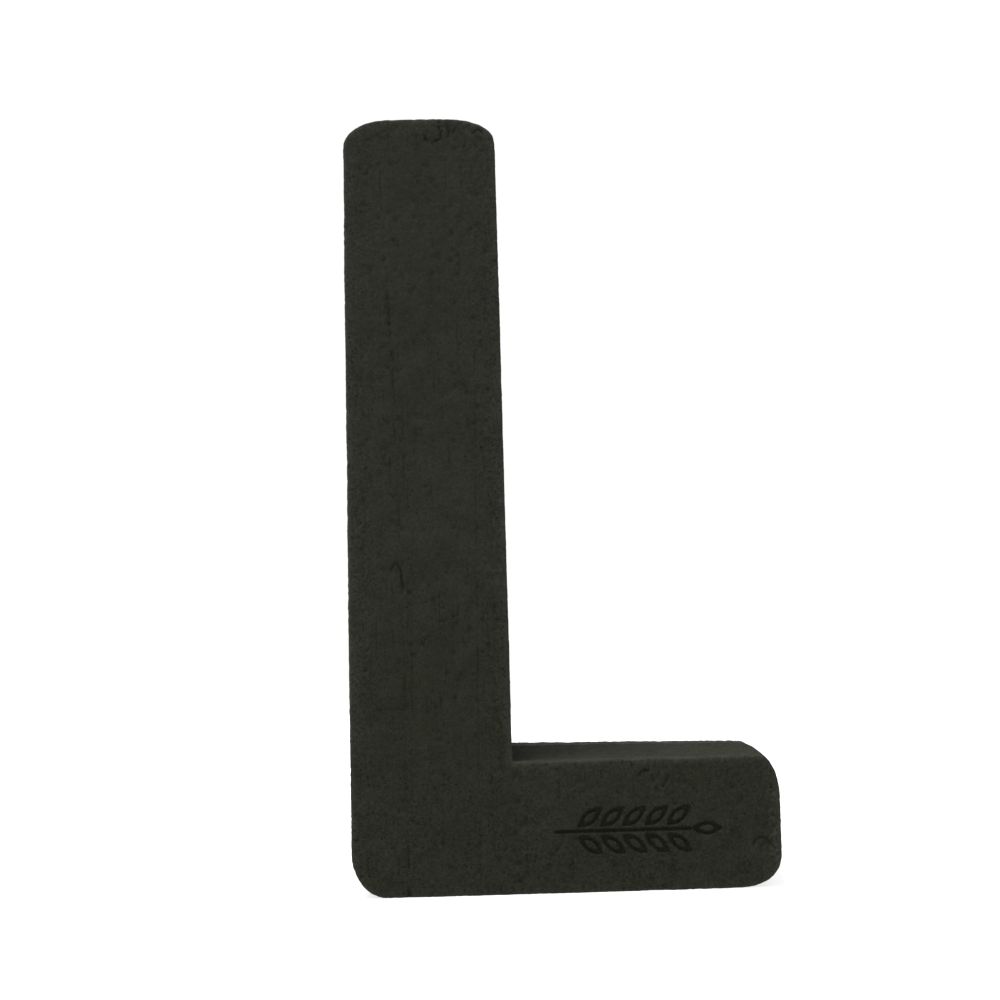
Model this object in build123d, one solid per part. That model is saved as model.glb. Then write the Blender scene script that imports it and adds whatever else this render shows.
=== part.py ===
from build123d import *
import os

# A wet floral foam letter "L", standing upright on the underside of its foot.
# A block of open-cell foam, cut to the letter's outline, is glued to a backing board
# of expanded polystyrene with the same outline. The adhesive lies between them, in
# four flat beads that have pressed into the back of the foam.
#
# Frame, in millimetres: +Z is the letter's up, the decorating face looks to -Y, the
# board is at +Y, and the foot points to +X. The origin is under the middle of the
# letter's box, on the surface that it stands on.

# ---- Driving dimensions ------------------------------------------------------------
height = 290.0            # foot's underside to the top of the stem
width = 155.0             # outer side of the stem to the end of the foot
depth = 50.0              # decorating face to the back of the board
stem_width = 58.0
foot_height = 46.0
board_thickness = 10.0

# Each rounded corner is a quarter of an ellipse: (radius across, radius up).
round_stem_top_outer = (16.0, 10.0)
round_stem_top_inner = (18.0, 10.5)
round_foot_end_top = (6.0, 14.0)
round_foot_end_bottom = (16.0, 12.0)
round_heel = (12.0, 16.0)

# The pressed mark on the foot is a plain sprig: a stalk with pairs of leaves.
mark_length = 60.0
mark_depth = 1.0          # how far the die went into the foam
mark_line = 1.1           # width of the pressed line
mark_centre_x = 26.0
mark_centre_z = 21.5
leaf_pairs = 5
leaf_length = 11.0
leaf_width = 4.6
leaf_lean = 38.0          # degrees between a leaf and the stalk
leaf_gap = 0.9            # clear foam between the stalk and a leaf's foot

# Adhesive beads between the foam and the board.
bead_width = 7.0
bead_thickness = 1.2
bead_edge = 0.4           # bevel where a bead has sunk into the foam
bead_margin = 14.0        # from a side of the letter to the middle of a bead
bead_end_margin = 22.0    # from an end of the letter to the end of a bead

# ---- Places that follow from them --------------------------------------------------
left = -width / 2
right = width / 2
stem_right = left + stem_width
front = -depth / 2
back = depth / 2
joint = back - board_thickness      # the plane where foam and board meet
foam_depth = joint - front

quarter = 90.0


def corner(radii, x, z, x_side, z_side, start_angle):
    """A quarter ellipse inside the corner at (x, z), drawn counter-clockwise."""
    across, up = radii
    centre = (x - x_side * across, z - z_side * up)
    return EllipticalCenterArc(centre, across, up, start_angle, arc_size=quarter)


def letter_face():
    """The outline of the L, drawn with X across and Y up, as a flat face."""
    heel = corner(round_heel, left, 0, -1, -1, 2 * quarter)
    end_bottom = corner(round_foot_end_bottom, right, 0, 1, -1, 3 * quarter)
    end_top = corner(round_foot_end_top, right, foot_height, 1, 1, 0)
    top_inner = corner(round_stem_top_inner, stem_right, height, 1, 1, 0)
    top_outer = corner(round_stem_top_outer, left, height, -1, 1, quarter)
    crook = (stem_right, foot_height)
    edges = [
        heel,
        Line(heel @ 1, end_bottom @ 0),
        end_bottom,
        Line(end_bottom @ 1, end_top @ 0),
        end_top,
        Line(end_top @ 1, crook),
        Line(crook, top_inner @ 0),
        top_inner,
        Line(top_inner @ 1, top_outer @ 0),
        top_outer,
        Line(top_outer @ 1, heel @ 0),
    ]
    return make_face(edges)


def upright(flat, y_front, thickness):
    """Stands a face drawn on X and Y upright and thickens it towards +Y."""
    plane = Plane(origin=(0, y_front, 0), x_dir=(1, 0, 0), z_dir=(0, -1, 0))
    return extrude(plane * flat, amount=-thickness)


def leaf_face(length, breadth):
    """A pointed leaf along +X from the origin, between two equal arcs."""
    tip = (length, 0)
    upper = ThreePointArc((0, 0), (length / 2, breadth / 2), tip)
    lower = ThreePointArc(tip, (length / 2, -breadth / 2), (0, 0))
    return make_face([upper, lower])


def leaf_ring():
    """The pressed outline of one leaf: a leaf with a smaller one taken out of it."""
    slimness = leaf_length / leaf_width
    inner_width = leaf_width - 2 * mark_line
    inner_length = inner_width * slimness
    shift = (leaf_length - inner_length) / 2
    return leaf_face(leaf_length, leaf_width) - Pos(shift, 0) * leaf_face(inner_length, inner_width)


def sprig():
    """The whole mark, centred on the origin: stalk, leaf pairs and one leaf at the tip."""
    stalk_length = mark_length - leaf_length - leaf_gap
    start = -mark_length / 2
    shapes = [Pos(start + stalk_length / 2, 0) * SlotOverall(stalk_length, mark_line)]
    shapes.append(Pos(start + stalk_length + leaf_gap, 0) * leaf_ring())
    pitch = stalk_length / (leaf_pairs + 1)
    clear = mark_line / 2 + leaf_gap
    for index in range(leaf_pairs):
        foot_x = start + pitch * (index + 1)
        for side in (-1, 1):
            place = Pos(foot_x, side * clear) * Rot(0, 0, side * leaf_lean)
            shapes.append(place * leaf_ring())
    return shapes


def glue_bead(x_low, x_high, z_low, z_high):
    """One flat bead on the board's front face, sunk into the foam, with a bevelled rim."""
    across = x_high - x_low
    up = z_high - z_low
    middle = ((x_low + x_high) / 2, (z_low + z_high) / 2)
    if up > across:
        flat = Pos(*middle) * Rot(0, 0, quarter) * SlotOverall(up, across)
    else:
        flat = Pos(*middle) * SlotOverall(across, up)
    bead = upright(flat, joint - bead_thickness, bead_thickness)
    rim = bead.faces().sort_by(Axis.Y)[0].edges()
    return chamfer(rim, bead_edge)


def glue_beads():
    """Four beads: two up the stem and two along the foot, keyed by node name."""
    half = bead_width / 2
    stem_low = foot_height + bead_margin / 2
    stem_high = height - bead_end_margin
    foot_low_x = left + bead_end_margin
    foot_high_x = right - bead_end_margin
    beads = {}
    for name, x in (
        ("glue_bead_stem_outer", left + bead_margin),
        ("glue_bead_stem_inner", stem_right - bead_margin),
    ):
        beads[name] = glue_bead(x - half, x + half, stem_low, stem_high)
    for name, z in (
        ("glue_bead_foot_upper", foot_height - bead_margin),
        ("glue_bead_foot_lower", bead_margin),
    ):
        beads[name] = glue_bead(foot_low_x, foot_high_x, z - half, z + half)
    return beads


def foam_letter(beads):
    """The foam block, with the mark pressed into its front and the beads into its back."""
    block = upright(letter_face(), front, foam_depth)
    for shape in sprig():
        placed = Pos(mark_centre_x, mark_centre_z) * shape
        block -= upright(placed, front, mark_depth)
    for bead in beads.values():
        block -= bead
    return block


def backing_board():
    """The polystyrene board, cut to the same outline as the foam."""
    return upright(letter_face(), joint, board_thickness)


def main():
    beads = glue_beads()
    nodes = {"foam_letter": foam_letter(beads), "backing_board": backing_board()}
    nodes.update(beads)
    os.makedirs("parts", exist_ok=True)
    for name, solid in nodes.items():
        export_step(solid, f"parts/{name}.step")


main()
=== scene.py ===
import itertools
import math

import bpy
import numpy as np
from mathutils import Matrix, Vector
from mathutils.geometry import delaunay_2d_cdt
from mathutils.kdtree import KDTree


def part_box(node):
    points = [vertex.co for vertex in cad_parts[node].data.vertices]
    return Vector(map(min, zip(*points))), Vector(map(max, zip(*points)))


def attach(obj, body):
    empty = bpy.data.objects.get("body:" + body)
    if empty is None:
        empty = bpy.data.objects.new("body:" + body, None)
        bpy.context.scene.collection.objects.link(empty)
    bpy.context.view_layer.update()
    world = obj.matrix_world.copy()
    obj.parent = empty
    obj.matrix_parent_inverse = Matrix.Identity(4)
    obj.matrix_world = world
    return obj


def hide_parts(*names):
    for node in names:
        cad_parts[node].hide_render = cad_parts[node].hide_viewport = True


# The looks of a floral foam letter "L": a granular block of dark wet foam with rounded,
# crumbling edges, glued to a polystyrene board with fused beads. Shapes are worked out
# in millimetres, in the part's own frame, and turned into metres when a mesh is made.

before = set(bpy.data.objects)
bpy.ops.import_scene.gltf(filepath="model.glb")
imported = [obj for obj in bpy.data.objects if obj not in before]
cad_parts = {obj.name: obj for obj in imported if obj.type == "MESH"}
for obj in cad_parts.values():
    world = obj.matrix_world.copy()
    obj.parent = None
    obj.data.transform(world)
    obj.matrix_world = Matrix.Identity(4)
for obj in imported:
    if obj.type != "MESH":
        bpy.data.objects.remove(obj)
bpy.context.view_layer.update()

MM = 0.001
rng = np.random.default_rng(20)

# ---- Sizes, in millimetres ---------------------------------------------------------
foam_low, foam_high = (np.array(corner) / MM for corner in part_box("foam_letter"))
left, front, floor_z = foam_low
right, joint, top = foam_high
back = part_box("backing_board")[1][1] / MM
depth = back - front

stem_width = 58.0
foot_height = 46.0
stem_right = left + stem_width

# Each rounded corner is a quarter of an ellipse or of a fuller curve: (radius across, radius up).
round_stem_top_outer = (17.0, 10.5)
round_stem_top_inner = (25.0, 12.2)
round_foot_end_top = (7.0, 15.2)
round_foot_end_bottom = (17.0, 13.0)
round_heel = (13.0, 16.0)
round_crook = 0.7
# 2 is an ellipse; more fills the corner out.
stem_top_inner_squareness = 2.75
foot_end_bottom_squareness = 2.35
foot_end_top_back_squareness = 2.5

# The foot isn't cut quite square. At the back of the board its end stands further out,
# with a fuller corner, and its upper face is higher at the stem and lower at the end.
end_flare = 2.9
crook_lift = 0.7
end_lift = -0.9
end_tuck = 0.35           # the foot's end leans in this far at its base
round_foot_end_top_back = (7.9, 12.1)
foot_rise = 0.7           # the foot's upper face stands this far above its nominal height
foot_slack = 2.0          # the points that fill the faces start out this far above it
base_spread = 0.3         # the stem is this much wider to each side at its base
swell = 0.11              # the cut surface stands this far outside the nominal outline


# ---- Noise -------------------------------------------------------------------------
# Large odd numbers that scatter the bits of a lattice cell's place.
HASH_AXES = (73856093, 19349663, 83492791)
HASH_SEED = 2654435761
HASH_MIX = (0x9E3779B97F4A7C15, 0xBF58476D1CE4E5B9)
UNIT_BITS = 24            # bits kept for a random number from 0 to 1
noise_gain = 1.6          # brings the noise to about -1 to 1
seed_offset = 31.7        # moves the lattice for each seed


def lattice_gradients(cell, seed):
    """One pseudo-random unit direction for each lattice cell."""
    x, y, z = (cell[:, axis].astype(np.uint64) * np.uint64(HASH_AXES[axis]) for axis in range(3))
    mixed = ((x ^ y ^ z) + np.uint64(seed * HASH_SEED)) * np.uint64(HASH_MIX[0])
    mixed ^= mixed >> np.uint64(29)
    mixed = mixed * np.uint64(HASH_MIX[1])
    mask = np.uint64(2**UNIT_BITS - 1)
    first = (mixed >> np.uint64(64 - UNIT_BITS)).astype(float) / 2.0**UNIT_BITS
    second = ((mixed >> np.uint64(16)) & mask).astype(float) / 2.0**UNIT_BITS
    height = 2 * first - 1
    turn = 2 * math.pi * second
    flat = np.sqrt(1 - height**2)
    return np.stack([flat * np.cos(turn), flat * np.sin(turn), height], 1)


def noise(points, feature, seed):
    """Smooth gradient noise, about -1 to 1, with features of that size in millimetres."""
    place = points / feature + seed_offset * seed
    cell = np.floor(place).astype(np.int64)
    inside = place - cell
    fade = inside**3 * (inside * (inside * 6 - 15) + 10)
    total = np.zeros(len(points))
    for offset in itertools.product((0, 1), repeat=3):
        step = np.array(offset)
        gradient = lattice_gradients(cell + step, seed)
        share = np.prod(np.where(step == 1, fade, 1 - fade), axis=1)
        total += share * ((inside - step) * gradient).sum(1)
    return noise_gain * total


def layers(points, kinds):
    """Several noises together, each as (size of its features, height, seed)."""
    return sum(height * noise(points, feature, seed) for feature, height, seed in kinds)


def smooth(value, low, high):
    """0 below low, 1 above high, and an S-curve between them."""
    t = np.clip((value - low) / (high - low), 0, 1)
    return t * t * (3 - 2 * t)


# ---- The outline of the L ----------------------------------------------------------
corner_points = 60
crook_points = 12


def round_corner(radii, x, z, side_x, side_z, start, squareness=2.0):
    """The curve in the corner at (x, z), counter-clockwise from the angle start."""
    across, up = np.array(radii) + swell
    turn = start + np.linspace(0, math.pi / 2, corner_points)
    power = 2 / squareness
    cosine = np.sign(np.cos(turn)) * np.abs(np.cos(turn)) ** power
    sine = np.sign(np.sin(turn)) * np.abs(np.sin(turn)) ** power
    centre_x = x + side_x * (swell - across)
    centre_z = z + side_z * (swell - up)
    return np.stack([centre_x + across * cosine, centre_z + up * sine], 1)


def spread(points, count):
    """count points evenly spaced along a polyline, from its first to just before its last."""
    run = np.concatenate([[0], np.cumsum(np.linalg.norm(np.diff(points, axis=0), axis=1))])
    places = np.linspace(0, run[-1], count, endpoint=False)
    return np.stack([np.interp(places, run, points[:, axis]) for axis in range(2)], 1)


def letter_corners(share):
    """The L's corners, counter-clockwise from the heel, a share of the way from front to back."""
    quarter = math.pi / 2
    end = right + end_flare * share * (2 - share)
    end_top = foot_height + foot_rise + end_lift * share
    crook_top = foot_height + foot_rise + crook_lift * share
    end_round = (
        np.array(round_foot_end_top) * (1 - share) + np.array(round_foot_end_top_back) * share
    )
    squareness = 2 * (1 - share) + foot_end_top_back_squareness * share
    bend = np.linspace(-quarter, -2 * quarter, crook_points)
    crook = np.stack([
        stem_right + base_spread + swell + round_crook * (1 + np.cos(bend)),
        crook_top + swell + round_crook * (1 + np.sin(bend)),
    ], 1)
    return [
        round_corner(round_heel, left - base_spread, floor_z, -1, -1, 2 * quarter),
        round_corner(
            round_foot_end_bottom, end - end_tuck, floor_z, 1, -1, 3 * quarter,
            foot_end_bottom_squareness,
        ),
        round_corner(end_round, end, end_top, 1, 1, 0, squareness),
        crook,
        round_corner(round_stem_top_inner, stem_right, top, 1, 1, 0, stem_top_inner_squareness),
        round_corner(round_stem_top_outer, left, top, -1, 1, quarter),
    ]


class Outline:
    """The L's outline, with the same number of points from front to back."""

    def __init__(self, step):
        self.counts = []
        corners = letter_corners(0.0)
        for corner, following in zip(corners, corners[1:] + corners[:1]):
            bend = np.linalg.norm(np.diff(corner, axis=0), axis=1).sum()
            straight = np.linalg.norm(following[0] - corner[-1])
            self.counts += [max(3, round(bend / step)), max(2, round(straight / step))]
        self.count = sum(self.counts)
        front_points = self.at(0.0)[0]
        gaps = np.linalg.norm(np.roll(front_points, -1, 0) - front_points, axis=1)
        self.run = np.concatenate([[0], np.cumsum(gaps)[:-1]])

    def at(self, share):
        """Points and outward normals at a share of the way from the front to the back."""
        corners = letter_corners(share)
        pieces = []
        for number, corner in enumerate(corners):
            following = corners[(number + 1) % len(corners)]
            straight = np.stack([corner[-1], following[0]])
            pieces.append(spread(corner, self.counts[2 * number]))
            pieces.append(spread(straight, self.counts[2 * number + 1]))
        points = np.concatenate(pieces)
        along = np.roll(points, -1, 0) - np.roll(points, 1, 0)
        along /= np.linalg.norm(along, axis=1)[:, None]
        return points, np.stack([along[:, 1], -along[:, 0]], 1)


def tree_of(points):
    """A search tree over the points."""
    tree = KDTree(len(points))
    for index, point in enumerate(points.tolist()):
        tree.insert(point, index)
    tree.balance()
    return tree


def edge_distance(flat, outline_points):
    """Distance in the letter's plane from each point to the outline."""
    tree = tree_of(np.column_stack([outline_points, np.zeros(len(outline_points))]))
    return np.array([tree.find((x, z, 0.0))[2] for x, z in flat.tolist()])


# ---- The pressed mark: a plain sprig -----------------------------------------------
mark_length = 60.0
mark_depth = 1.0          # how far the die went into the foam
mark_line = 1.1           # width of the pressed line
mark_centre = np.array([26.0, 21.5])
mark_soft_edge = 0.45     # width of the slope at a line's side
leaf_pairs = 5
leaf_length = 11.0
leaf_width = 4.6
leaf_lean = math.radians(38.0)
leaf_gap = 0.9            # clear foam between the stalk and a leaf's foot
mark_half_height = 10.0   # half of the area around the mark that has a fine mesh
mark_margin = 2.0         # how far that area goes past the mark's ends


def leaf_distance(points, foot, lean, length, breadth):
    """Distance to a pointed leaf between two equal arcs, negative inside it."""
    along = np.array([math.cos(lean), math.sin(lean)])
    across = np.array([-along[1], along[0]])
    local = points - foot
    u = local @ along - length / 2
    v = local @ across
    radius = (length**2 / 4 + breadth**2 / 4) / breadth
    shift = radius - breadth / 2
    upper = np.hypot(u, v + shift) - radius
    lower = np.hypot(u, v - shift) - radius
    return np.maximum(upper, lower)


def leaf_ring(points, foot, lean):
    """Distance to the pressed outline of one leaf."""
    inner_width = leaf_width - 2 * mark_line
    inner_length = inner_width * leaf_length / leaf_width
    direction = np.array([math.cos(lean), math.sin(lean)])
    inner_foot = foot + direction * (leaf_length - inner_length) / 2
    outer = leaf_distance(points, foot, lean, leaf_length, leaf_width)
    inner = leaf_distance(points, inner_foot, lean, inner_length, inner_width)
    return np.maximum(outer, -inner)


def mark_press(points):
    """How far the die pressed each point of the front face, in millimetres."""
    local = points - mark_centre
    stalk_length = mark_length - leaf_length - leaf_gap
    start = -mark_length / 2
    stalk_x = np.clip(local[:, 0], start, start + stalk_length)
    nearest = np.hypot(local[:, 0] - stalk_x, local[:, 1]) - mark_line / 2
    tip_foot = np.array([start + stalk_length + leaf_gap, 0.0])
    nearest = np.minimum(nearest, leaf_ring(local, tip_foot, 0.0))
    pitch = stalk_length / (leaf_pairs + 1)
    clear = mark_line / 2 + leaf_gap
    for index in range(leaf_pairs):
        for side in (-1, 1):
            foot = np.array([start + pitch * (index + 1), side * clear])
            nearest = np.minimum(nearest, leaf_ring(local, foot, side * leaf_lean))
    return mark_depth * smooth(-nearest, -mark_soft_edge / 2, mark_soft_edge / 2)


# ---- A slab of the letter's outline, as points and faces ---------------------------
back_round_rings = 3


class Slab:
    """A block between two depths with the L's outline, rounded where faces meet sides."""

    def __init__(
        self, outline, y_front, y_back, step, round_front, round_back, fill_front, fill_back
    ):
        self.outline = outline
        self.count = outline.count
        rings = []
        arc_steps = max(2, round(math.pi / 2 * float(np.mean(round_front)) / step)) + 1
        for turn in np.linspace(math.pi / 2, 0, arc_steps + 1):
            inward = round_front * (1 - math.cos(turn))
            rings.append((inward, y_front + round_front * (1 - math.sin(turn)), turn))
        begin, end = y_front + round_front, y_back - round_back
        side_steps = round(float(np.mean(end - begin)) / step)
        for share in np.linspace(0, 1, side_steps + 1)[1:-1]:
            rings.append((np.zeros(self.count), begin + share * (end - begin), 0.0))
        for turn in np.linspace(0, math.pi / 2, back_round_rings):
            inward = round_back * (1 - math.cos(turn))
            rings.append((inward, y_back - round_back * (1 - math.sin(turn)), -turn))
        self.points = np.zeros((0, 3))
        self.normals = np.zeros((0, 3))
        self.run = np.zeros(0)
        for inward, y, turn in rings:
            self.add_ring(inward, y, turn)
        index = np.arange(self.count)
        following = np.roll(index, -1)
        quads = []
        for ring in range(len(rings) - 1):
            low, high = ring * self.count, (ring + 1) * self.count
            corners = [low + index, high + index, high + following, low + following]
            quads.append(np.stack(corners, 1))
        self.quads = np.concatenate(quads)
        self.triangles = np.zeros((0, 3), int)
        self.add_cap(0, y_front, fill_front, -1)
        self.add_cap((len(rings) - 1) * self.count, y_back, fill_back, 1)

    def add_ring(self, inward, y, turn):
        """Adds the outline, moved inward, with normals turned to the front by the angle turn."""
        flat, normals = self.outline.at((float(np.mean(y)) - front) / depth)
        flat = flat - normals * inward[:, None]
        sideways = normals * math.cos(turn)
        facing = np.full(self.count, -math.sin(turn))
        self.points = np.concatenate([self.points, np.stack([flat[:, 0], y, flat[:, 1]], 1)])
        ring_normals = np.stack([sideways[:, 0], facing, sideways[:, 1]], 1)
        self.normals = np.concatenate([self.normals, ring_normals])
        self.run = np.concatenate([self.run, self.outline.run])

    def add_cap(self, first, y, fill, side):
        """Closes one end with triangles over the ring's points and the fill points inside it."""
        ring = self.points[first:first + self.count][:, [0, 2]]
        everything = np.concatenate([ring, fill])
        edges = [(i, (i + 1) % self.count) for i in range(self.count)]
        made = delaunay_2d_cdt([Vector(p) for p in everything.tolist()], edges, [], 1, 1e-5)
        triangles = np.array(made[2])
        flat = np.array([list(p) for p in made[0]])
        source = np.array([sources[0] if sources else -1 for sources in made[3]])
        on_ring = (source >= 0) & (source < self.count)
        extra = np.zeros(len(flat), bool)
        extra[triangles.ravel()] = True
        extra &= ~on_ring
        new_index = np.where(on_ring, first + source, -1)
        new_index[extra] = len(self.points) + np.arange(extra.sum())
        added = np.stack([flat[extra, 0], np.full(extra.sum(), y), flat[extra, 1]], 1)
        self.points = np.concatenate([self.points, added])
        self.normals = np.concatenate([self.normals, np.tile([0.0, side, 0.0], (len(added), 1))])
        self.run = np.concatenate([self.run, np.full(len(added), -1.0)])
        triangles = new_index[triangles]
        if side > 0:
            triangles = triangles[:, ::-1]
        self.triangles = np.concatenate([self.triangles, triangles])

    def mesh(self, name):
        """The slab as a Blender mesh, in metres."""
        faces = self.quads.tolist() + self.triangles.tolist()
        made = bpy.data.meshes.new(name)
        made.from_pydata((self.points * MM).tolist(), [], faces)
        made.validate()
        made.shade_smooth()
        return made


fill_jitter = 0.22        # of the gap between two points


def fill_points(outline_points, spacing, margin, dense=None):
    """Jittered points in a triangle pattern inside the outline, closer where dense says."""
    low, high = outline_points.min(0), outline_points.max(0)

    def pattern(gap):
        rows = np.arange(low[1], high[1], gap * math.sqrt(3) / 2)
        columns = np.arange(low[0], high[0], gap)
        x, z = np.meshgrid(columns, rows)
        x = x + (np.arange(len(rows)) % 2)[:, None] * gap / 2
        grid = np.stack([x.ravel(), z.ravel()], 1)
        grid = grid + rng.uniform(-fill_jitter, fill_jitter, grid.shape) * gap
        return grid[(grid[:, 0] < stem_right) | (grid[:, 1] < foot_height + foot_slack)]

    points = pattern(spacing)
    if dense is not None:
        fine_spacing, inside = dense
        fine = pattern(fine_spacing)
        points = np.concatenate([points[~inside(points)], fine[inside(fine)]])
    return points[edge_distance(points, outline_points) > margin]


# ---- Cuts, dents and crumbs --------------------------------------------------------
def stroke(points, path, width):
    """How strongly each point lies on a bell-shaped stroke along the path, 0 to 1."""
    nearest = np.full(len(points), np.inf)
    for start, end in zip(path[:-1], path[1:]):
        span = end - start
        share = np.clip(((points - start) @ span) / (span @ span), 0, 1)
        gap = np.linalg.norm(points - start - share[:, None] * span, axis=1)
        nearest = np.minimum(nearest, gap)
    return np.exp(-((nearest / width) ** 2))


def bow(x_low, z_low, x_high, z_high, lean, steps=24):
    """A line up the stem that leans over more and more towards its upper end."""
    share = np.linspace(0, 1, steps)
    x = x_low + (x_high - x_low) * share**lean
    z = z_low + (z_high - z_low) * share
    return np.stack([x, z], 1)


def arc(centre, radius, start, end, steps=14):
    """A curl, between two angles in degrees."""
    turn = np.radians(np.linspace(start, end, steps))
    return np.stack([centre[0] + radius * np.cos(turn), centre[1] + radius * np.sin(turn)], 1)


pit_search = 1.4          # a ragged pit reaches no further than this many radii


def pits(slab, tree, centres, radii, depths, ragged):
    """Ragged hollows pressed into a slab: the depth at each of its points."""
    hollow = np.zeros(len(slab.points))
    for centre, radius, pit_depth in zip(centres, radii, depths):
        for _, index, gap in tree.find_range(slab.points[centre], radius * pit_search):
            reach = gap / radius * ragged[index]
            if reach < 1:
                hollow[index] = max(hollow[index], pit_depth * (1 - reach * reach) ** 1.5)
    return hollow


def random_pits(slab, tree, ragged, kinds):
    """Pits of several kinds: (each point's chance, how many, range of radii, range of depths)."""
    count = len(slab.points)
    hollow = np.zeros(count)
    for chance, number, radii, depths in kinds:
        centres = rng.choice(count, number, replace=False, p=chance)
        radius, pit_depth = rng.uniform(*radii, number), rng.uniform(*depths, number)
        hollow = np.maximum(hollow, pits(slab, tree, centres, radius, pit_depth, ragged))
    return hollow


# ---- Foam --------------------------------------------------------------------------
foam_step = 0.92          # gap between mesh points on the sides
foam_fill = 0.9           # on the decorating face
fine_fill = 0.44          # around the mark and the scratches
hidden_fill = 2.6         # on the glued faces
pocket_fill = 1.2         # around the beads' pockets
pocket_margin = 1.5
detail_stroke = 1.0       # the fine mesh covers a stroke of this width along each scratch,
detail_share = 0.24       # out to where the stroke has faded to this share
fill_margin = 2.0         # clear of points along a glued face's edge
foam_fill_margin = 2.1
bead_thickness = 1.2
beads = ("stem_outer", "stem_inner", "foot_upper", "foot_lower")

foam_round_back = 0.5
foam_round_front = 1.05   # on average; it wanders between the two limits
foam_round_limits = (0.6, 1.5)
foam_round_wander = ((14.0, 0.3, 3), (4.0, 0.12, 4))

# The cut surface: its waves and lumps, the wire's ridges across the sides, and the saw's
# lines up the front, as (size of a feature, depth, seed). Ridges and lines are drawn out.
foam_waves = ((75.0, 0.16, 1), (22.0, 0.06, 2), (7.0, 0.05, 5), (2.6, 0.055, 6))
foam_ridges = ((1.9, 0.035, 7), (5.0, 0.035, 8))
foam_ridge_stretch = 14.0
foam_saw_lines = ((2.3, 0.07, 9), (6.0, 0.04, 10))
foam_saw_stretch = 26.0
foam_grain = 0.03         # random depth of each point
pressed_calm = 0.75       # how much of all this the die flattened

# Reach from the front arris: of the painted highlight on the arris itself, which also stands for
# dusty wear, of the wear along its edge, and of coarser grain.
arris_reach = 1.15
edge_reach = 3.0
coarse_reach = 9.0
side_coarseness = 0.8
end_wear_reach = 5.0      # pale wear on the foot's end
coarse_foot_heights = (70, 20)   # coarser grain sets in from the first height down to the second
lower_shade_heights = (140, 30)   # and so does the painted shade: darker and greener below, lighter and more neutral above, as the overhead light falls off
lower_shade_wander = 38.0         # whose border wanders up and down this far

# The notch at the heel.
notch_x = -57.3
notch_height = 4.5
notch_depth = 1.3
notch_width = 0.3         # at its top
notch_splay = 0.5         # how much wider it is at the bottom


def in_mark(points):
    """Which points lie in the area around the mark."""
    local = np.abs(points - mark_centre)
    return (local[:, 0] < mark_length / 2 + mark_margin) & (local[:, 1] < mark_half_height)


def bead_distance(flat):
    """Distance to the nearest adhesive bead in the letter's plane, negative inside it."""
    nearest = np.full(len(flat), np.inf)
    for name in beads:
        low, high = (np.array(corner)[[0, 2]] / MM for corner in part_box("glue_bead_" + name))
        half = (high - low).min() / 2
        middle = np.clip(flat, low + half, high - half)
        nearest = np.minimum(nearest, np.linalg.norm(flat - middle, axis=1) - half)
    return nearest


def paint(mesh, name, values):
    """Stores one number for each vertex, which a material reads by name."""
    layer = mesh.attributes.new(name, "FLOAT", "POINT")
    layer.data.foreach_set("value", np.clip(values, 0, 1).astype(np.float32))


def show(mesh):
    """Puts the mesh in the scene as a piece of the same name."""
    piece = bpy.data.objects.new(mesh.name, mesh)
    bpy.context.scene.collection.objects.link(piece)
    return piece


def scratches():
    """Lines on the decorating face, as (path, width, depth, how broken up each one is).

    Places are (across, up). The long streaks up the stem come first, then the curls and the
    short kinked scratches.
    """
    lines = [
        (bow(-57.2, 9.0, -63.8, 272.0, 2.2), 0.5, 0.3, 1.0),
        (bow(-54.9, 62.0, -54.0, 128.0, 1.0), 0.45, 0.22, 1.0),
        (bow(-31.6, 22.0, -28.8, 222.0, 1.0), 0.45, 0.24, 1.0),
        (bow(-26.2, 15.0, -26.6, 42.0, 1.0), 0.45, 0.3, 1.0),
        (bow(-44.5, 90.0, -47.0, 180.0, 1.0), 0.45, 0.16, 1.0),
        (arc((70.0, 14.6), 3.1, 25, 165), 0.5, 0.5, 0.2),
        (arc((71.8, 12.9), 2.6, 30, 140), 0.45, 0.35, 0.2),
        (arc((29.2, 40.2), 2.4, 70, 165), 0.6, 0.5, 0.2),
        (arc((-25.8, 283.2), 1.8, 20, 160), 0.45, 0.4, 0.3),
    ]
    for corners, width, line_depth in (
        (((-61.8, 117.5), (-60.0, 120.2), (-58.3, 116.9), (-57.3, 110.4)), 0.45, 0.4),
        (((-40.9, 286.8), (-39.9, 284.3), (-40.1, 281.8), (-42.4, 281.0)), 0.55, 0.5),
        (((-37.4, 286.4), (-36.9, 284.3), (-37.3, 282.2)), 0.5, 0.3),
        (((-33.4, 287.0), (-35.3, 283.9)), 0.5, 0.3),
        (((-46.2, 283.2), (-45.8, 282.0)), 0.6, 0.5),
        (((37.4, 40.6), (36.6, 38.6), (35.2, 36.6)), 0.5, 0.4),
        (((32.6, 36.4), (33.4, 34.9)), 0.5, 0.35),
        (((41.4, 41.2), (42.4, 39.8)), 0.5, 0.3),
    ):
        lines.append((np.array(corners), width, line_depth, 0.3))
    return lines


def near_detail(flat):
    """Where the decorating face needs a fine mesh: at the sprig and along the scratches."""
    near = in_mark(flat)
    for path, _, _, _ in scratches():
        near |= stroke(flat, path, detail_stroke) > detail_share
    return near


def foam_creases(points, facing):
    """How deep the scratches and the notch at the heel go, in millimetres."""
    flat = points[:, [0, 2]]
    gaps = np.clip(0.5 + 0.9 * noise(points, 16.0, 11) + 0.4 * noise(points, 2.5, 12), 0, 1.3)
    depths = np.zeros(len(points))
    for path, width, line_depth, broken in scratches():
        depths += line_depth * stroke(flat, path, width) * (1 - broken + broken * gaps)
    low = np.clip(notch_height - points[:, 2], 0, notch_height) / notch_height
    spread_out = notch_width + notch_splay * low
    depths += notch_depth * low * np.exp(-(((points[:, 0] - notch_x) / spread_out) ** 2))
    return facing * depths


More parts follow.
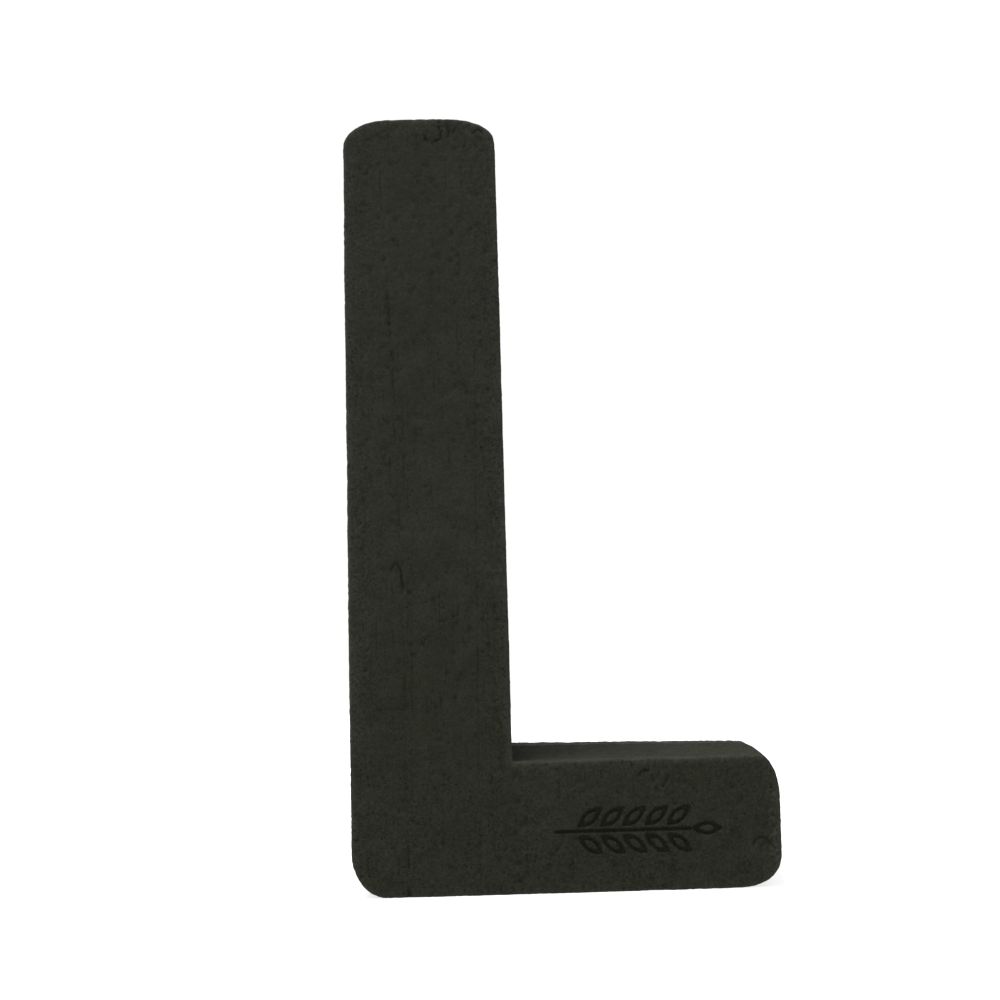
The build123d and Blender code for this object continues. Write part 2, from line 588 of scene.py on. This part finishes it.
def foam_hollows(slab, near_edge, share):
    """Broken cells: small pits, more along the edges, and a few chips and dents."""
    points = slab.points
    count = len(points)
    tree = tree_of(points)
    ragged = 1 + 0.32 * noise(points, 1.6, 13) + 0.12 * rng.standard_normal(count)
    everywhere = share / share.sum()
    along_edges = share * near_edge
    along_edges /= along_edges.sum()
    return random_pits(slab, tree, ragged, (
        (everywhere, 1900, (0.9, 1.7), (0.12, 0.42)),
        (along_edges, 700, (0.8, 1.6), (0.04, 0.15)),
        (along_edges, 26, (1.2, 2.4), (0.12, 0.32)),
        (everywhere, 60, (2.2, 4.5), (0.15, 0.36)),
    ))


def make_foam():
    """The block of wet foam, from the decorating face to the glued joint."""
    outline = Outline(foam_step)
    outline_points = outline.at(0.0)[0]
    place = np.stack([outline.run, np.zeros(outline.count), np.zeros(outline.count)], 1)
    round_front = foam_round_front + layers(place, foam_round_wander)
    round_front = np.clip(round_front, *foam_round_limits)
    round_back = np.full(outline.count, foam_round_back)
    detail = (fine_fill, near_detail)
    fill_front = fill_points(outline_points, foam_fill, foam_fill_margin, detail)
    pocket = (pocket_fill, lambda flat: bead_distance(flat) < pocket_margin)
    fill_back = fill_points(outline_points, hidden_fill, fill_margin, pocket)
    slab = Slab(outline, front, joint, foam_step, round_front, round_back, fill_front, fill_back)

    points, normals = slab.points, slab.normals
    count = len(points)
    flat = points[:, [0, 2]]
    facing = np.clip(-normals[:, 1], 0, 1)
    hidden = np.clip(normals[:, 1], 0, 1)
    seen = 1 - hidden
    on_side = slab.run >= 0
    across = np.where(facing > 0.5, edge_distance(flat, outline_points), 0)
    behind = np.where(on_side, points[:, 1] - front, 0)
    from_arris = np.hypot(across, behind)
    near_edge = np.exp(-((from_arris / edge_reach) ** 2))

    inward = layers(points, foam_waves)
    inward += foam_grain * rng.standard_normal(count)
    along = np.stack([slab.run, points[:, 1] / foam_ridge_stretch, np.zeros(count)], 1)
    inward += np.where(on_side, layers(along, foam_ridges), 0)
    saw = np.stack([points[:, 0], np.zeros(count), points[:, 2] / foam_saw_stretch], 1)
    inward += facing * layers(saw, foam_saw_lines)

    # Where the mesh is fine, each of its many points is chosen for a pit less often.
    crease = foam_creases(points, facing)
    thinned = np.where((facing > 0.5) & near_detail(flat), (fine_fill / foam_fill) ** 2, 1.0)
    hollow = foam_hollows(slab, near_edge, seen * thinned) * (1 - 0.5 * near_edge)
    pressed = facing * mark_press(flat)
    calm = 1 - pressed_calm * smooth(pressed, 0.1, 0.6)
    inward = (inward + hollow) * calm * seen + crease + pressed
    inward += bead_thickness * ((hidden > 0.9) & (bead_distance(flat) < 0.05))

    slab.points = points - normals * inward[:, None]
    slab.points[:, 2] = np.maximum(slab.points[:, 2], floor_z)
    slab.points[:, 1] = np.minimum(slab.points[:, 1], joint)
    mesh = slab.mesh("foam_block")

    # What the material reads: pale wear, a painted highlight on the front arris, painted shade in
    # the hollows, scratches and pressed lines, painted light that leaves the foam lighter above
    # and darker, greener below, and coarse grain.
    patchy = noise(points, 6.0, 14)
    # Painted light: the foam is painted lighter and more neutral above, darker and greener below,
    # where the overhead light falls off; the border wanders with noise.
    border = points[:, 2] + lower_shade_wander * noise(points, 52.0, 15)
    lower = smooth(border, *lower_shade_heights)
    # A painted highlight along the front arris, which also stands for dusty wear there.
    arris_highlight_and_dust = np.exp(-((from_arris / arris_reach) ** 4))
    end = np.exp(-(((right - points[:, 0]) / end_wear_reach) ** 2)) * (points[:, 2] < foot_height)
    coarse = np.exp(-((from_arris / coarse_reach) ** 2))
    coarse = np.maximum(coarse, 0.8 * smooth(points[:, 2], *coarse_foot_heights))
    coarse = np.maximum(coarse, side_coarseness * on_side)
    wear = near_edge * (0.6 + 0.5 * patchy) + 0.8 * end * (0.7 + 0.6 * patchy)
    # Painted shade in the pits away from the edges, in the scratches and the notch, and in the
    # pressed lines of the mark.
    recess_shade = 0.8 * smooth(hollow, 0.1, 0.55) * (1 - near_edge) + smooth(crease, 0.05, 0.4)
    paint(mesh, "wear", wear + 0.2 * smooth(noise(points, 17.0, 16), 0.1, 0.7))
    paint(mesh, "arris_highlight_and_dust", arris_highlight_and_dust * (0.75 + 0.5 * patchy))
    paint(mesh, "recess_shade", recess_shade + 0.86 * smooth(pressed, 0.15, 0.8))
    paint(mesh, "lower", lower)
    paint(mesh, "coarse", coarse * (0.8 + 0.5 * noise(points, 11.0, 17)))
    paint(mesh, "front", facing)
    return show(mesh)


# ---- Polystyrene board -------------------------------------------------------------
board_step = 0.75         # gap between mesh points on the rim
board_fill = 0.74         # on the back
board_fill_margin = 1.4
board_round_front = 0.5
board_round_back = 0.4
fused_bead = 3.1          # size of the polystyrene's beads
bead_scatter = 0.42       # how far a bead is off its place in the lattice
seam_width = 0.14         # of the groove between beads, in bead sizes
rim_reach = 2.2           # how far the dents go in from the rim
seam_depth_rim = 0.14
seam_depth_back = 0.24
bead_dome = 0.1           # how far a bead's middle stands out
bead_step = 0.06          # how far one bead stands out from another
board_waves = ((60.0, 0.12, 22), (9.0, 0.04, 23))
board_ridges = ((2.2, 0.035, 24),)
board_ridge_stretch = 12.0
board_wire_lines = ((3.0, 0.05, 25),)
board_wire_stretch = 30.0


def bead_cells(points, size, seed):
    """Distances to the two nearest bead centres, in bead sizes, and the nearest bead's tone."""
    place = points / size
    cell = np.floor(place).astype(np.int64)
    first = np.full(len(points), np.inf)
    second = np.full(len(points), np.inf)
    tone = np.zeros(len(points))
    for offset in itertools.product((-1, 0, 1), repeat=3):
        neighbour = cell + np.array(offset)
        shift = lattice_gradients(neighbour, seed)
        gap = np.linalg.norm(place - neighbour - 0.5 - bead_scatter * shift, axis=1)
        tone = np.where(gap < first, 0.5 + 0.5 * shift[:, 0], tone)
        second = np.minimum(second, np.maximum(first, gap))
        first = np.minimum(first, gap)
    return first, second, tone


def make_board():
    """The polystyrene board, from the glued joint to the back."""
    outline = Outline(board_step)
    outline_points = outline.at(1.0)[0]
    fill_front = fill_points(outline_points, hidden_fill, fill_margin)
    fill_back = fill_points(outline_points, board_fill, board_fill_margin)
    round_front = np.full(outline.count, board_round_front)
    round_back = np.full(outline.count, board_round_back)
    slab = Slab(outline, joint, back, board_step, round_front, round_back, fill_front, fill_back)

    points, normals = slab.points, slab.normals
    count = len(points)
    facing = np.clip(normals[:, 1], 0, 1)
    seen = 1 - np.clip(-normals[:, 1], 0, 1)
    on_side = slab.run >= 0
    first, second, tone = bead_cells(points, fused_bead, 21)
    seam = np.exp(-(((second - first) / seam_width) ** 2))
    seam_depth = np.where(on_side, seam_depth_rim, seam_depth_back)
    inward = seam_depth * seam + bead_dome * smooth(first, 0.0, 0.75) + bead_step * tone
    inward += layers(points, board_waves)

    # Ridges from the wire that cut the board: across its rim, and side to side on its back.
    along = np.stack([slab.run, points[:, 1] / board_ridge_stretch, np.zeros(count)], 1)
    inward += np.where(on_side, layers(along, board_ridges), 0)
    wire = np.stack([points[:, 0] / board_wire_stretch, np.zeros(count), points[:, 2]], 1)
    inward += facing * layers(wire, board_wire_lines)

    # Gaps where beads didn't fuse, and dents along the rim.
    tree = tree_of(points)
    ragged = 1 + 0.3 * noise(points, 2.0, 26)
    rim = np.where(on_side, back - points[:, 1], edge_distance(points[:, [0, 2]], outline_points))
    near_edge = np.exp(-((rim / rim_reach) ** 2)) * seen + 1e-9
    in_seam = seen * seam
    hollow = random_pits(slab, tree, ragged, (
        (in_seam / in_seam.sum(), 520, (0.9, 1.5), (0.2, 0.5)),
        (near_edge / near_edge.sum(), 60, (1.5, 3.0), (0.1, 0.3)),
    ))
    inward = (inward + hollow) * seen
    slab.points = points - normals * inward[:, None]
    slab.points[:, 2] = np.maximum(slab.points[:, 2], floor_z)
    slab.points[:, 1] = np.maximum(slab.points[:, 1], joint)
    mesh = slab.mesh("board_slab")
    # Painted shade in the grooves between beads and in the gaps where beads didn't fuse.
    paint(mesh, "seam", seam + smooth(hollow, 0.05, 0.4))
    paint(mesh, "wear", near_edge * (0.6 + 0.5 * noise(points, 7.0, 27)))
    paint(mesh, "tone", tone)
    return show(mesh)


# ---- Materials ---------------------------------------------------------------------
# Colours are linear.
# Painted light: the foam's upper colour is lighter and more neutral, its lower colour darker and
# greener.
foam_upper_lit = (0.0167, 0.0174, 0.0137)
foam_lower_shaded = (0.0145, 0.0152, 0.0103)
# Pale wear, and the painted highlight on the front arris.
foam_wear_and_highlight = (0.042, 0.043, 0.036)
# Painted shade in pits, scratches, pressed lines and pinholes.
foam_recess_shade = (0.005, 0.005, 0.003)
board_dark = (0.0160, 0.0167, 0.0117)
board_light = (0.0178, 0.0185, 0.0142)
board_worn = (0.03, 0.031, 0.025)
# Painted shade in the grooves between beads and in unfused gaps.
board_groove_shade = (0.008, 0.008, 0.006)
adhesive_dark = (0.50, 0.37, 0.17)
adhesive_light = (0.62, 0.50, 0.28)
table_dark = (0.33, 0.33, 0.328)
table_light = (0.35, 0.35, 0.348)
white = (1.0, 1.0, 1.0, 1.0)

foam_specular = 0.03
board_specular = 0.07
adhesive_specular = 0.5
table_specular = 0.1
table_glow = 0.75


class Nodes:
    """Short names for building a node material."""

    def __init__(self, name):
        self.material = bpy.data.materials.new(name)
        self.material.use_nodes = True
        self.tree = self.material.node_tree
        self.shader = self.tree.nodes["Principled BSDF"]
        place = self.tree.nodes.new("ShaderNodeTexCoord")
        scale = self.tree.nodes.new("ShaderNodeVectorMath")
        scale.operation = "SCALE"
        scale.inputs["Scale"].default_value = 1 / MM
        self.tree.links.new(place.outputs["Object"], scale.inputs[0])
        self.millimetres = scale.outputs[0]

    def set(self, **values):
        """Sets the shader's own sockets."""
        for name, value in values.items():
            self.shader.inputs[name.replace("_", " ")].default_value = value

    def link(self, output, socket):
        self.tree.links.new(output, socket)

    def noise(self, feature, detail=2.0, roughness=0.5, stretch=(1, 1, 1)):
        """Noise from 0 to 1, with features of that size in millimetres, drawn out by stretch."""
        mapping = self.tree.nodes.new("ShaderNodeMapping")
        mapping.inputs["Scale"].default_value = [1 / (feature * s) for s in stretch]
        self.link(self.millimetres, mapping.inputs["Vector"])
        node = self.tree.nodes.new("ShaderNodeTexNoise")
        node.inputs["Scale"].default_value = 1.0
        node.inputs["Detail"].default_value = detail
        node.inputs["Roughness"].default_value = roughness
        self.link(mapping.outputs[0], node.inputs["Vector"])
        return node.outputs["Fac"]

    def cells(self, feature):
        """Distance to the nearest of scattered points, about that many millimetres apart."""
        node = self.tree.nodes.new("ShaderNodeTexVoronoi")
        node.inputs["Scale"].default_value = 1 / feature
        self.link(self.millimetres, node.inputs["Vector"])
        return node.outputs["Distance"]

    def attribute(self, name):
        """The numbers painted on the mesh under that name."""
        node = self.tree.nodes.new("ShaderNodeAttribute")
        node.attribute_name = name
        return node.outputs["Fac"]

    def span(self, value, low, high, to_low, to_high):
        """value, from low to high, mapped to to_low to to_high."""
        node = self.tree.nodes.new("ShaderNodeMapRange")
        names = ("From Min", "From Max", "To Min", "To Max")
        for name, number in zip(names, (low, high, to_low, to_high)):
            node.inputs[name].default_value = number
        self.link(value, node.inputs["Value"])
        return node.outputs["Result"]

    def math(self, operation, first, second):
        """One operation on two values, each of them a number or a node's output."""
        node = self.tree.nodes.new("ShaderNodeMath")
        node.operation = operation
        for socket, value in zip(node.inputs, (first, second)):
            if isinstance(value, (int, float)):
                socket.default_value = value
            else:
                self.link(value, socket)
        return node.outputs[0]

    def lerp(self, share, first, second):
        """Value first going to second as share goes from 0 to 1."""
        node = self.tree.nodes.new("ShaderNodeMix")
        for socket, value in zip(node.inputs, (share, None, first, second)):
            if value is not None:
                self.link(value, socket)
        return node.outputs[0]

    def mix(self, share, first, second):
        """Colour first going to second as share goes from 0 to 1."""
        node = self.tree.nodes.new("ShaderNodeMix")
        node.data_type = "RGBA"
        sockets = (node.inputs[0], node.inputs[6], node.inputs[7])
        for socket, value in zip(sockets, (share, first, second)):
            if isinstance(value, tuple):
                socket.default_value = (*value, 1.0)
            elif isinstance(value, (int, float)):
                socket.default_value = value
            else:
                self.link(value, socket)
        return node.outputs[2]

    def tint(self, colour, factor):
        """colour multiplied by a grey factor."""
        scale = self.tree.nodes.new("ShaderNodeVectorMath")
        scale.operation = "SCALE"
        self.link(colour, scale.inputs[0])
        self.link(factor, scale.inputs["Scale"])
        return scale.outputs[0]

    def bump(self, height, distance, strength, under=None):
        """A normal tilted by a height from 0 to 1, which stands for that many millimetres."""
        node = self.tree.nodes.new("ShaderNodeBump")
        node.inputs["Distance"].default_value = distance * MM
        node.inputs["Strength"].default_value = strength
        self.link(height, node.inputs["Height"])
        if under is not None:
            self.link(under, node.inputs["Normal"])
        return node.outputs["Normal"]


def foam_material():
    n = Nodes("wet_foam")
    n.set(Specular_IOR_Level=foam_specular)
    # Painted light: the colour goes from lighter and more neutral above to darker and greener
    # below, as the overhead light falls off, with a random cloud mixed in.
    cloud = n.span(n.noise(30.0, 3.0, 0.55), 0.3, 0.7, -0.5, 0.5)
    tone = n.math("ADD", n.attribute("lower"), cloud)
    colour = n.mix(n.span(tone, 0, 1, 0, 1), foam_upper_lit, foam_lower_shaded)
    coarse = n.attribute("coarse")
    grain = n.noise(1.1, 3.0, 0.6)
    harsh = n.span(coarse, 0, 1, 0.75, 1.6)
    centred = n.math("MULTIPLY", n.math("SUBTRACT", grain, 0.5), harsh)
    colour = n.tint(colour, n.span(centred, -0.2, 0.2, 0.77, 1.23))
    cell = n.cells(0.42)
    colour = n.tint(colour, n.span(cell, 0.0, 0.75, 0.78, 1.2))
    colour = n.tint(colour, n.span(n.noise(7.0), 0.3, 0.7, 0.92, 1.08))

    # Streaks where the cutter dragged: up the front, and through the thickness on the sides.
    gaps = n.span(n.noise(8.0), 0.42, 0.56, 0.0, 1.0)
    up = n.span(n.noise(1.0, 1.0, 0.5, (1, 1, 30)), 0.58, 0.72, 0.0, 1.0)
    through = n.span(n.noise(0.8, 1.0, 0.5, (1, 30, 1)), 0.6, 0.72, 0.0, 0.9)
    streak = n.math("MULTIPLY", n.lerp(n.attribute("front"), through, up), gaps)
    colour = n.tint(colour, n.span(streak, 0, 1, 1.0, 0.78))

    # Pale wear near the edges, and a painted highlight along the front arris that also stands for
    # dusty wear.
    crumbs = n.span(n.noise(1.4, 3.0, 0.65), 0.42, 0.62, 0, 1)
    worn = n.math("MULTIPLY", n.math("MULTIPLY", n.attribute("wear"), crumbs), 0.5)
    worn = n.math("MAXIMUM", worn, n.math("MULTIPLY", n.attribute("arris_highlight_and_dust"), 0.42))
    colour = n.mix(worn, colour, foam_wear_and_highlight)
    # Painted shade in the pits, scratches, pressed lines and pinholes.
    colour = n.mix(n.math("MULTIPLY", n.attribute("recess_shade"), 0.56), colour, foam_recess_shade)
    pinhole = n.math("ADD", n.noise(0.85, 1.0), n.span(coarse, 0, 1, -0.02, 0.035))
    pinhole = n.span(pinhole, 0.68, 0.75, 0.0, 1.0)
    colour = n.mix(n.math("MULTIPLY", pinhole, 0.6), colour, foam_recess_shade)
    n.link(colour, n.shader.inputs["Base Color"])
    n.link(n.span(grain, 0.3, 0.7, 0.86, 1.0), n.shader.inputs["Roughness"])
    lumps = n.math("SUBTRACT", n.noise(1.3), n.math("MULTIPLY", streak, 0.4))
    normal = n.bump(lumps, 0.3, 0.7)
    normal = n.bump(n.math("SUBTRACT", cell, n.math("MULTIPLY", pinhole, 2.0)), 0.18, 0.8, normal)
    n.link(normal, n.shader.inputs["Normal"])
    return n.material


def board_material():
    n = Nodes("backing_foam")
    n.set(Specular_IOR_Level=board_specular)
    blotch = n.span(n.noise(26.0), 0.36, 0.64, 0, 1)
    colour = n.mix(blotch, board_dark, board_light)
    colour = n.tint(colour, n.span(n.attribute("tone"), 0, 1, 0.78, 1.22))
    colour = n.tint(colour, n.span(n.cells(0.3), 0.0, 0.7, 0.88, 1.1))
    worn = n.math("MULTIPLY", n.attribute("wear"), n.span(n.noise(1.6, 3.0), 0.45, 0.65, 0, 1))
    colour = n.mix(n.math("MULTIPLY", worn, 0.3), colour, board_worn)
    # Painted shade in the grooves between beads and in the gaps where beads didn't fuse.
    colour = n.mix(n.math("MULTIPLY", n.attribute("seam"), 0.7), colour, board_groove_shade)
    n.link(colour, n.shader.inputs["Base Color"])
    n.link(n.span(n.noise(1.8), 0.3, 0.7, 0.6, 0.85), n.shader.inputs["Roughness"])
    normal = n.bump(n.noise(0.7), 0.1, 0.5)
    n.link(normal, n.shader.inputs["Normal"])
    return n.material


def adhesive_material():
    n = Nodes("adhesive")
    n.set(Specular_IOR_Level=adhesive_specular)
    cloud = n.span(n.noise(6.0, 3.0), 0.35, 0.65, 0, 1)
    colour = n.mix(cloud, adhesive_dark, adhesive_light)
    n.link(colour, n.shader.inputs["Base Color"])
    n.link(n.span(n.noise(3.0), 0.3, 0.7, 0.25, 0.5), n.shader.inputs["Roughness"])
    n.link(n.bump(n.noise(1.5), 0.2, 0.5), n.shader.inputs["Normal"])
    return n.material


def studio_material():
    """White acrylic, lit faintly from beneath."""
    n = Nodes("light_table")
    n.set(Specular_IOR_Level=table_specular, Emission_Color=white, Emission_Strength=table_glow)
    colour = n.mix(n.noise(60.0, 3.0), table_dark, table_light)
    n.link(colour, n.shader.inputs["Base Color"])
    n.link(n.span(n.noise(1.5, 3.0), 0.3, 0.7, 0.85, 0.95), n.shader.inputs["Roughness"])
    return n.material


# ---- Studio, in metres -------------------------------------------------------------
table_rings = (0.15, 0.3, 0.45, 0.65)
table_sides = 96
lamp_place = (-0.34, -0.12, 1.38)
lamp_target = (0.0, 0.0, 0.14)
lamp_size = (0.5, 0.8)
lamp_power = 40.0
air_strength = 1.03

camera_sensor = 36.0      # millimetres
camera_lens = 38.165      # millimetres
camera_x = -0.0251
camera_height = 0.1040
camera_distance = 0.3911  # from the decorating face
camera_tilt_up = math.radians(5.566)
camera_roll = math.radians(1.53)
camera_turn = math.radians(-0.45)


def make_studio():
    """A round light table, as white as the air of the studio beyond its rim."""
    radii, sides = table_rings, table_sides
    points = [(0.0, 0.0, 0.0)]
    for radius in radii:
        for turn in np.linspace(0, 2 * math.pi, sides, endpoint=False):
            points.append((radius * math.cos(turn), radius * math.sin(turn), 0.0))
    faces = [(0, 1 + i, 1 + (i + 1) % sides) for i in range(sides)]
    for ring in range(len(radii) - 1):
        inner, outer = 1 + ring * sides, 1 + (ring + 1) * sides
        for i in range(sides):
            j = (i + 1) % sides
            faces.append((inner + i, outer + i, outer + j, inner + j))
    mesh = bpy.data.meshes.new("studio_floor")
    mesh.from_pydata(points, [], faces)
    mesh.materials.append(studio_material())
    floor = bpy.data.objects.new("studio_floor", mesh)
    bpy.context.scene.collection.objects.link(floor)


def make_lights():
    """One soft lamp overhead, in white air that lights every side."""
    data = bpy.data.lights.new("overhead", "AREA")
    data.shape = "RECTANGLE"
    data.size, data.size_y = lamp_size
    data.energy = lamp_power
    lamp = bpy.data.objects.new("overhead", data)
    lamp.location = lamp_place
    aim = Vector(lamp_target) - Vector(lamp_place)
    lamp.rotation_euler = aim.to_track_quat("-Z", "Y").to_euler()
    bpy.context.scene.collection.objects.link(lamp)
    world = bpy.data.worlds.new("studio_air")
    world.use_nodes = True
    air = world.node_tree.nodes["Background"]
    air.inputs["Color"].default_value = white
    air.inputs["Strength"].default_value = air_strength
    bpy.context.scene.world = world


def make_camera():
    """A close view from the height of the stem's lower half, tilted up and rolled a little."""
    data = bpy.data.cameras.new("camera")
    data.sensor_width = camera_sensor
    data.lens = camera_lens
    camera = bpy.data.objects.new("camera", data)
    camera.location = (camera_x, front * MM - camera_distance, camera_height)
    camera.rotation_euler = (math.pi / 2 + camera_tilt_up, camera_roll, camera_turn)
    bpy.context.scene.collection.objects.link(camera)
    bpy.context.scene.camera = camera


def main():
    bpy.context.scene.view_settings.view_transform = "Standard"
    make_camera()
    make_studio()
    make_lights()
    foam = make_foam()
    foam.data.materials.append(foam_material())
    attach(foam, "root")
    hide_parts("foam_letter")
    board = make_board()
    board.data.materials.append(board_material())
    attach(board, "root")
    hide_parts("backing_board")
    adhesive = adhesive_material()
    for name in beads:
        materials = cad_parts["glue_bead_" + name].data.materials
        materials.clear()
        materials.append(adhesive)


main()
